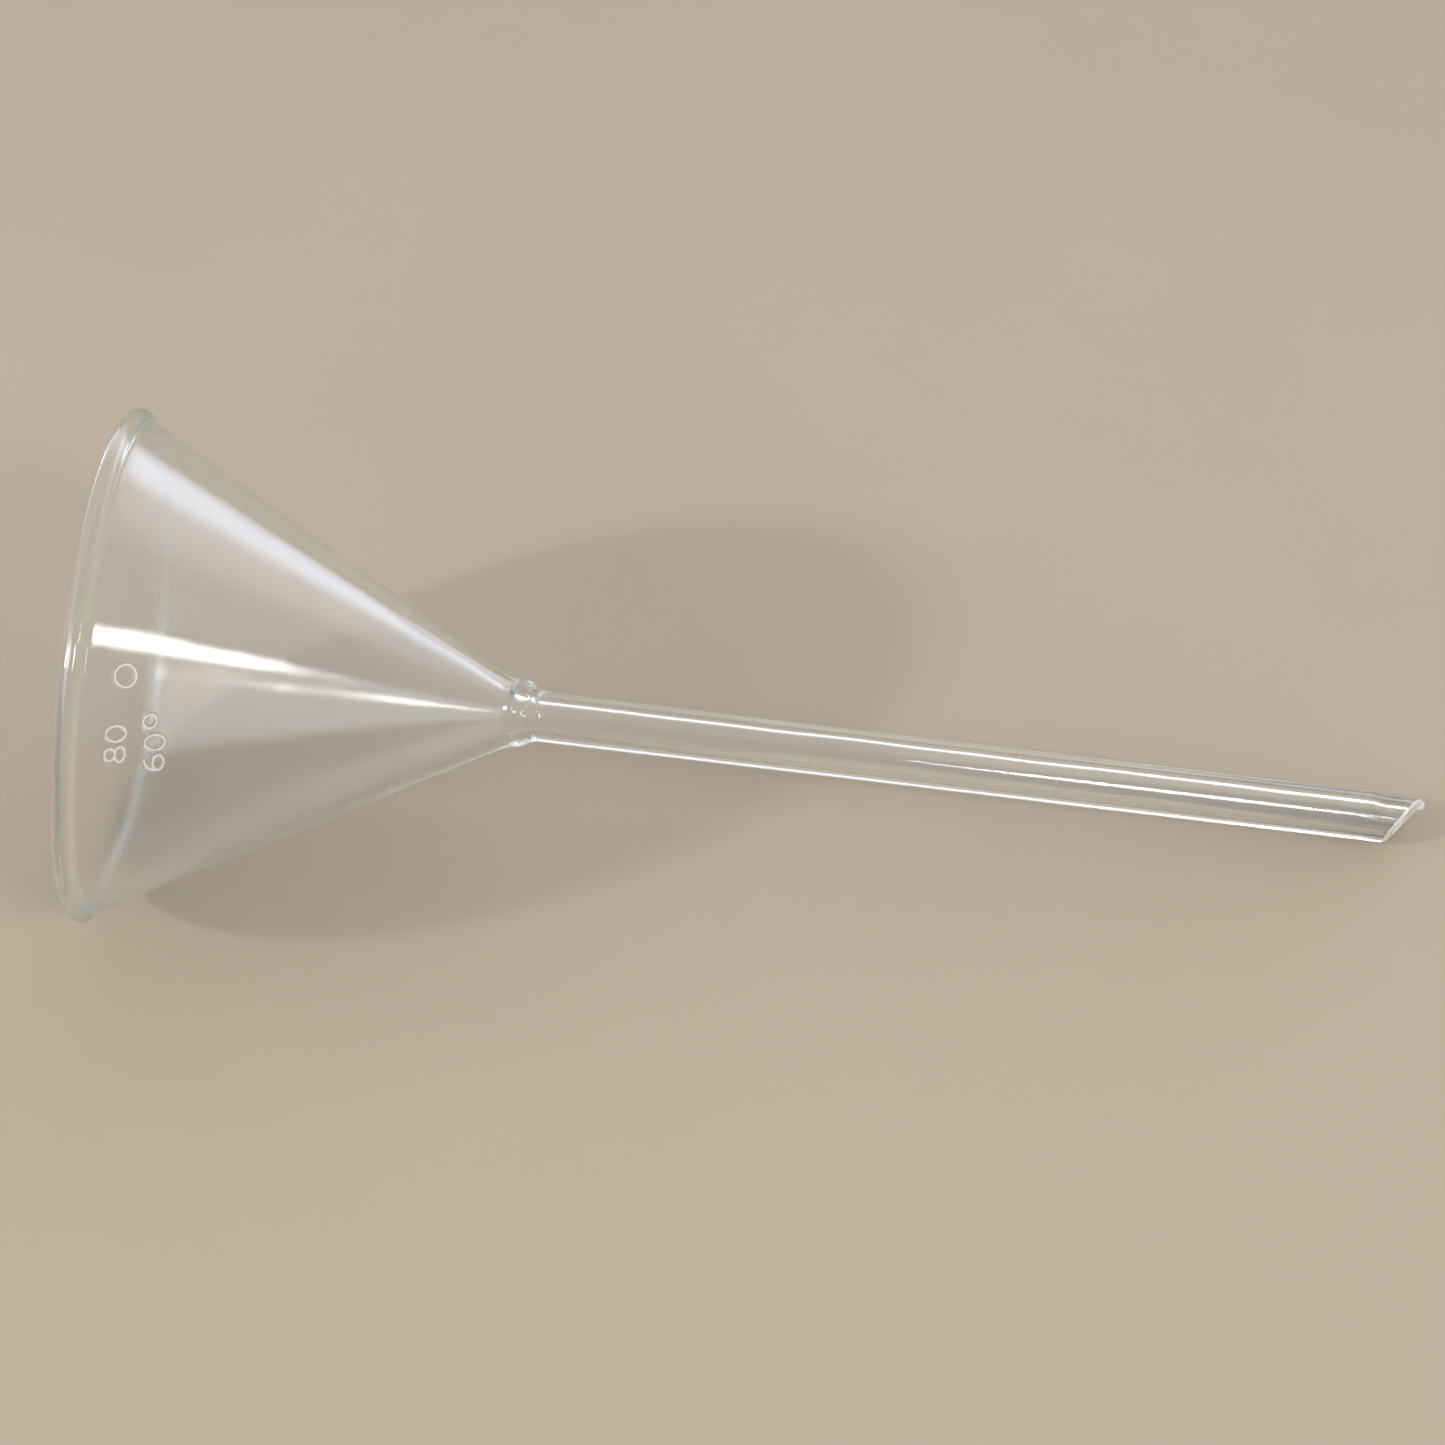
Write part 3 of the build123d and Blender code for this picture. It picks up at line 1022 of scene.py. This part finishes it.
# ---------------------------------------------------------------------------- the funnel
@dataclass
class GlassFunnel:
    """The whole funnel, as one closed skin of glass."""

    sizes: FunnelSizes
    axes: FunnelAxes
    fine_from: float = math.radians(106.0)
    fine_to: float = math.radians(145.0)
    fine_columns: int = 200
    coarse_columns: int = 150
    # How far the crests stand out before they get the painted highlight, and how far round the drip the
    # painted highlight reaches.
    highlight_from: float = 0.2 * MM
    highlight_beyond: float = 0.3 * MM
    shoulder_foot: Softening = Softening(before=3, after=8, passes=12)
    neck: Softening = Softening(before=12, after=9, passes=60)
    bead_outside: Softening = Softening(before=4, after=3, passes=5)
    bead_inside: Softening = Softening(before=4, after=1, passes=4)
    marks: tuple[MouldedMark, ...] = (
        MouldedMark((Figure.SIX, Figure.NOUGHT, Figure.DEGREE), turn=121.7, drop=11.6 * MM),
        MouldedMark((Figure.EIGHT, Figure.NOUGHT), turn=121.7, drop=5.7 * MM),
        MouldedMark((Figure.RING,), turn=137.7, drop=6.3 * MM),
    )

    def turns(self) -> np.ndarray:
        """The skin's columns, close together where the marks are."""
        fine = np.linspace(self.fine_from, self.fine_to, self.fine_columns, endpoint=False)
        coarse = np.linspace(
            self.fine_to, self.fine_from + FULL_TURN, self.coarse_columns, endpoint=False
        )
        return np.concatenate([fine, coarse])

    def skin(self, turns: np.ndarray) -> Rows:
        """Shapes all rows of the skin, in order round the wall's section.

        Args:
            turns: The skin's columns.

        Returns:
            The rows, from the tip's lip up the outside, over the rim and down the inside.
        """
        tip = BevelledTip(self.sizes)
        stem = DrawnStem(self.sizes)
        seal = FlameSeal(self.sizes)
        cone = BlownCone(self.sizes, self.marks)
        stretches = [
            tip.wall(self.sizes.stem_radius, turns),
            stem.wall(self.sizes.stem_radius, stem.outer_ripple, turns),
            seal.outside(turns),
            cone.outside(turns),
            RolledRim(self.sizes).around(turns),
            cone.inside(turns).flipped(),
            seal.inside(turns).flipped(),
            stem.wall(self.sizes.bore_radius, stem.inner_ripple, turns).flipped(),
            tip.wall(self.sizes.bore_radius, turns).flipped(),
            tip.lip(turns),
        ]
        ends = [int(end) for end in np.cumsum([len(rows.radii) for rows in stretches])]
        seal_start, cone_start, bead_start, bead_end = ends[1:5]
        rows = stack(stretches)
        rows.soften(seal_start, self.shoulder_foot)
        rows.soften(cone_start, self.neck)
        seal.mark_seam(rows, bead_start)
        rows.soften(bead_start, self.bead_outside)
        rows.soften(bead_end, self.bead_inside)
        tip.finish(rows, turns)
        return rows

    def painted_highlight(self, rows: Rows, turns: np.ndarray) -> np.ndarray:
        """Finds the points that get the painted highlight: the figures' crests and the drip, and also the
        bevel's ground edge.

        Args:
            rows: The finished skin's rows.
            turns: The skin's columns.

        Returns:
            True for every such point.
        """
        sizes = self.sizes
        cone, tip = BlownCone(sizes, self.marks), BevelledTip(sizes)
        middle = sizes.wall_point(0.0, 0.0)
        out, up = rows.radii - middle[0], rows.heights - middle[1]
        sine, cosine = math.sin(sizes.half_angle), math.cos(sizes.half_angle)
        below = sizes.bead_joint - out * sine - up * cosine
        proud = out * cosine - up * sine - sizes.outer_offset
        # The figures' crests get the painted highlight, and so do the drip and the bevel's lip below.
        crests = (proud > self.highlight_from) & (below > cone.fine_to) & (below < cone.fine_from)
        from_long = turns - tip.long_turn
        away = [
            rows.radii * np.cos(from_long) - tip.drip_place[0],
            rows.radii * np.sin(from_long),
            rows.heights - tip.drip_place[1],
        ]
        drip = sum(part * part for part in away) < (tip.drip_radius + self.highlight_beyond) ** 2
        drip[-tip.lip_rows :] = True
        return crests | drip

    def build(self, finish: bpy.types.Material, painted_highlight: bpy.types.Material) -> bpy.types.Object:
        """Makes the glass and puts it on its CAD body, in place of the CAD's own solids.

        Args:
            finish: The glass material.
            painted_highlight: The material that paints highlights on the figures' crests and the drip, also
                given to the bevel's edge.

        Returns:
            The piece.
        """
        turns = self.turns()
        rows = self.skin(turns)
        spread = np.repeat(turns[None, :], len(rows.radii), axis=0)
        points = self.axes.place(spread, rows.radii, rows.heights).reshape(-1, 3)
        across, down = np.meshgrid(np.arange(len(turns)), np.arange(len(rows.radii)))
        columns, count = len(turns), len(rows.radii)
        right = (across + 1) % columns
        below = (down + 1) % count
        corners = (
            down * columns + across,
            down * columns + right,
            below * columns + right,
            below * columns + across,
        )
        quads = np.stack([corner.ravel() for corner in corners], axis=1)
        mesh = bpy.data.meshes.new("glass_funnel")
        mesh.from_pydata(points.tolist(), [], quads.tolist())
        mesh.materials.append(finish)
        mesh.materials.append(painted_highlight)
        # Faces with the painted highlight finish: the figures' crests and the drip, and the bevel's lip.
        on_painted_highlight = self.painted_highlight(rows, turns).ravel()[quads].sum(axis=1) > 2
        mesh.polygons.foreach_set("material_index", on_painted_highlight.astype(np.int32))
        mesh.validate()
        mesh.shade_smooth()
        piece = bpy.data.objects.new("glass_funnel", mesh)
        bpy.context.scene.collection.objects.link(piece)
        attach(piece, "root")
        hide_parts(*sorted(frame["nodes"]))
        log.info("glass_funnel: %d faces", len(mesh.polygons))
        return piece


# ---------------------------------------------------------------------------- setting
def heading(compass: float, elevation: float) -> Vector:
    """The direction at a compass angle from +X towards +Y and an elevation, both in degrees."""
    around, rise = math.radians(compass), math.radians(elevation)
    return Vector((math.cos(around) * math.cos(rise), math.sin(around) * math.cos(rise), math.sin(rise)))


@dataclass(frozen=True)
class Softbox:
    """A soft area light that points at the funnel. Its width and height are angles seen from there."""

    name: str
    compass: float
    elevation: float
    wide: float
    tall: float
    radiance: float
    colour: tuple[float, float, float]
    roll: float = 0.0
    distance: float = 1.1

    def build(self, target: Vector) -> bpy.types.Object:
        """Makes the light.

        Args:
            target: What it points at.

        Returns:
            The light.
        """
        light = bpy.data.lights.new(self.name, "AREA")
        light.shape = "ELLIPSE"
        light.size = 2 * self.distance * math.tan(math.radians(self.wide) / 2)
        light.size_y = 2 * self.distance * math.tan(math.radians(self.tall) / 2)
        light.energy = self.radiance * math.pi * (math.pi / 4) * light.size * light.size_y
        light.color = self.colour
        lamp = bpy.data.objects.new(self.name, light)
        back = heading(self.compass, self.elevation)
        look = (-back).to_track_quat("-Z", "Y").to_matrix().to_4x4()
        tilt = Matrix.Rotation(math.radians(self.roll), 4, "Z")
        lamp.matrix_world = Matrix.Translation(target + back * self.distance) @ look @ tilt
        lamp.visible_camera = False
        bpy.context.scene.collection.objects.link(lamp)
        return lamp


@dataclass(frozen=True)
class WindowGlow:
    """A soft bright patch of the room, as a window or a lit wall gives. Its reach is in degrees."""

    compass: float
    elevation: float
    wide: float
    tall: float
    glow: tuple[float, float, float]

    def add(self, nodes: NodeTree, place: bpy.types.NodeSocket) -> bpy.types.NodeSocket:
        """Adds the patch's nodes to the room.

        Args:
            nodes: The room's nodes.
            place: The direction that is looked in.

        Returns:
            The patch's light.
        """
        middle = heading(self.compass, self.elevation)
        side = Vector((-middle.y, middle.x, 0.0)).normalized()
        rise = middle.cross(side)
        squares = []
        for axis, reach in ((side, self.wide), (rise, self.tall)):
            scaled = axis / math.sin(math.radians(reach))
            along = nodes.work_out("ShaderNodeVectorMath", "DOT_PRODUCT", place, scaled)
            squares.append(nodes.work_out("ShaderNodeMath", "POWER", along, 2.0))
        far = nodes.work_out("ShaderNodeMath", "ADD", *squares)
        ahead = nodes.work_out("ShaderNodeVectorMath", "DOT_PRODUCT", place, middle)
        front = nodes.work_out("ShaderNodeMath", "GREATER_THAN", ahead, 0.0)
        fade = nodes.add("ShaderNodeMapRange", interpolation_type="SMOOTHSTEP")
        nodes.join(far, fade.inputs["Value"])
        fade.inputs["From Max"].default_value = 1.0
        fade.inputs["To Min"].default_value = 1.0
        fade.inputs["To Max"].default_value = 0.0
        share = nodes.work_out("ShaderNodeMath", "MULTIPLY", fade.outputs["Result"], front)
        light = nodes.add("ShaderNodeVectorMath", operation="SCALE")
        light.inputs[0].default_value = self.glow
        nodes.join(share, light.inputs["Scale"])
        return light.outputs["Vector"]


@dataclass(frozen=True)
class Studio:
    """Table, lights and camera."""

    table_radius: float = 6.0
    table_sides: int = 96
    ceiling_glow: tuple[float, float, float, float] = (0.70, 0.72, 0.76, 1.0)
    wall_glow: tuple[float, float, float, float] = (0.66, 0.68, 0.72, 1.0)
    wall_top: float = 0.5
    glass_bounces: int = 64
    glows: tuple[WindowGlow, ...] = (
        WindowGlow(62.0, 8.0, 18.0, 14.0, (1.9, 2.15, 2.85)),
        WindowGlow(44.0, 20.0, 28.0, 20.0, (0.8, 0.88, 1.05)),
        WindowGlow(88.0, 8.0, 30.0, 20.0, (0.46, 0.48, 0.53)),
    )
    lamps: tuple[Softbox, ...] = (
        Softbox("right_lamp", -17.8, 28.2, 6.8, 5.2, 40.0, (1.0, 0.99, 0.97), roll=30.0, distance=3.0),
        Softbox("front_lamp", -55.0, 43.0, 13.0, 11.0, 20.0, (0.93, 0.96, 1.0)),
        Softbox("left_wall", -162.0, 33.0, 60.0, 24.0, 1.5, (1.0, 1.0, 1.0)),
        Softbox("left_key", -159.0, 31.0, 4.5, 4.5, 180.0, (1.0, 0.97, 0.93), distance=3.0),
    )
    azimuth: float = 5.593
    elevation: float = 49.224
    roll: float = -3.891
    camera_distance: float = 0.4458
    aim: tuple[float, float, float] = (-0.006183, 0.014455, 0.010)
    focal_length: float = 67.54
    sensor_width: float = 36.0
    nearest_seen: float = 0.01

    def build_table(self, finish: bpy.types.Material) -> None:
        """Makes the table top that the funnel lies on.

        Args:
            finish: The table's material.
        """
        mesh = bpy.data.meshes.new("table_top")
        angles = [FULL_TURN * place / self.table_sides for place in range(self.table_sides)]
        edge = [(self.table_radius * math.cos(a), self.table_radius * math.sin(a), 0.0) for a in angles]
        mesh.from_pydata(edge, [], [list(range(self.table_sides))])
        mesh.materials.append(finish)
        table = bpy.data.objects.new("table_top", mesh)
        bpy.context.scene.collection.objects.link(table)

    def build_room(self) -> None:
        """Sets the even light of the room, with its softly lit patches."""
        world = bpy.data.worlds.new("room")
        world.use_nodes = True
        nodes = NodeTree(world.node_tree)
        place = nodes.add("ShaderNodeTexCoord").outputs["Generated"]
        parts = nodes.add("ShaderNodeSeparateXYZ")
        nodes.join(place, parts.inputs["Vector"])
        rise = nodes.add("ShaderNodeMapRange", interpolation_type="SMOOTHSTEP")
        rise.inputs["From Max"].default_value = self.wall_top
        nodes.join(parts.outputs["Z"], rise.inputs["Value"])
        room = nodes.add("ShaderNodeMix", data_type="RGBA")
        room.inputs["A"].default_value = self.wall_glow
        room.inputs["B"].default_value = self.ceiling_glow
        nodes.join(rise.outputs["Result"], room.inputs["Factor"])
        light = room.outputs["Result"]
        for glow in self.glows:
            total = nodes.add("ShaderNodeVectorMath", operation="ADD")
            nodes.join(light, total.inputs[0])
            nodes.join(glow.add(nodes, place), total.inputs[1])
            light = total.outputs["Vector"]
        nodes.join(light, world.node_tree.nodes["Background"].inputs["Color"])
        bpy.context.scene.world = world
        paths = bpy.context.scene.cycles
        paths.max_bounces = self.glass_bounces
        paths.glossy_bounces = self.glass_bounces
        paths.transmission_bounces = self.glass_bounces

    def build_lights(self, target: Vector) -> None:
        """Makes the softboxes.

        Args:
            target: What they point at.
        """
        for lamp in self.lamps:
            lamp.build(target)
            log.info("light %s", lamp.name)

    def build_camera(self) -> None:
        """Makes the camera."""
        lens = bpy.data.cameras.new("studio_camera")
        lens.lens = self.focal_length
        lens.sensor_width = self.sensor_width
        lens.clip_start = self.nearest_seen
        camera = bpy.data.objects.new("studio_camera", lens)
        turn, rise = math.radians(self.azimuth), math.radians(self.elevation)
        back = Vector((math.sin(turn) * math.cos(rise), -math.cos(turn) * math.cos(rise), math.sin(rise)))
        look = (-back).to_track_quat("-Z", "Y").to_matrix().to_4x4()
        tilt = Matrix.Rotation(math.radians(self.roll), 4, "Z")
        camera.matrix_world = Matrix.Translation(Vector(self.aim) + back * self.camera_distance) @ look @ tilt
        bpy.context.scene.collection.objects.link(camera)
        bpy.context.scene.camera = camera


def main() -> None:
    """Builds the funnel and the studio."""
    logging.basicConfig(level=logging.INFO, format="%(name)s: %(message)s")
    sizes, axes = read_frame(frame["record"])
    mottle = mottle_group()
    GlassFunnel(sizes, axes).build(ClearGlass().material(mottle), PaintedHighlightGlass().material())
    studio = Studio()
    studio.build_table(PaleTable().material(mottle))
    studio.build_room()
    low, high = CAD_BOX
    studio.build_lights((low + high) / 2)
    studio.build_camera()
    bpy.context.scene.view_settings.view_transform = "Standard"


if __name__ == "__main__":
    main()
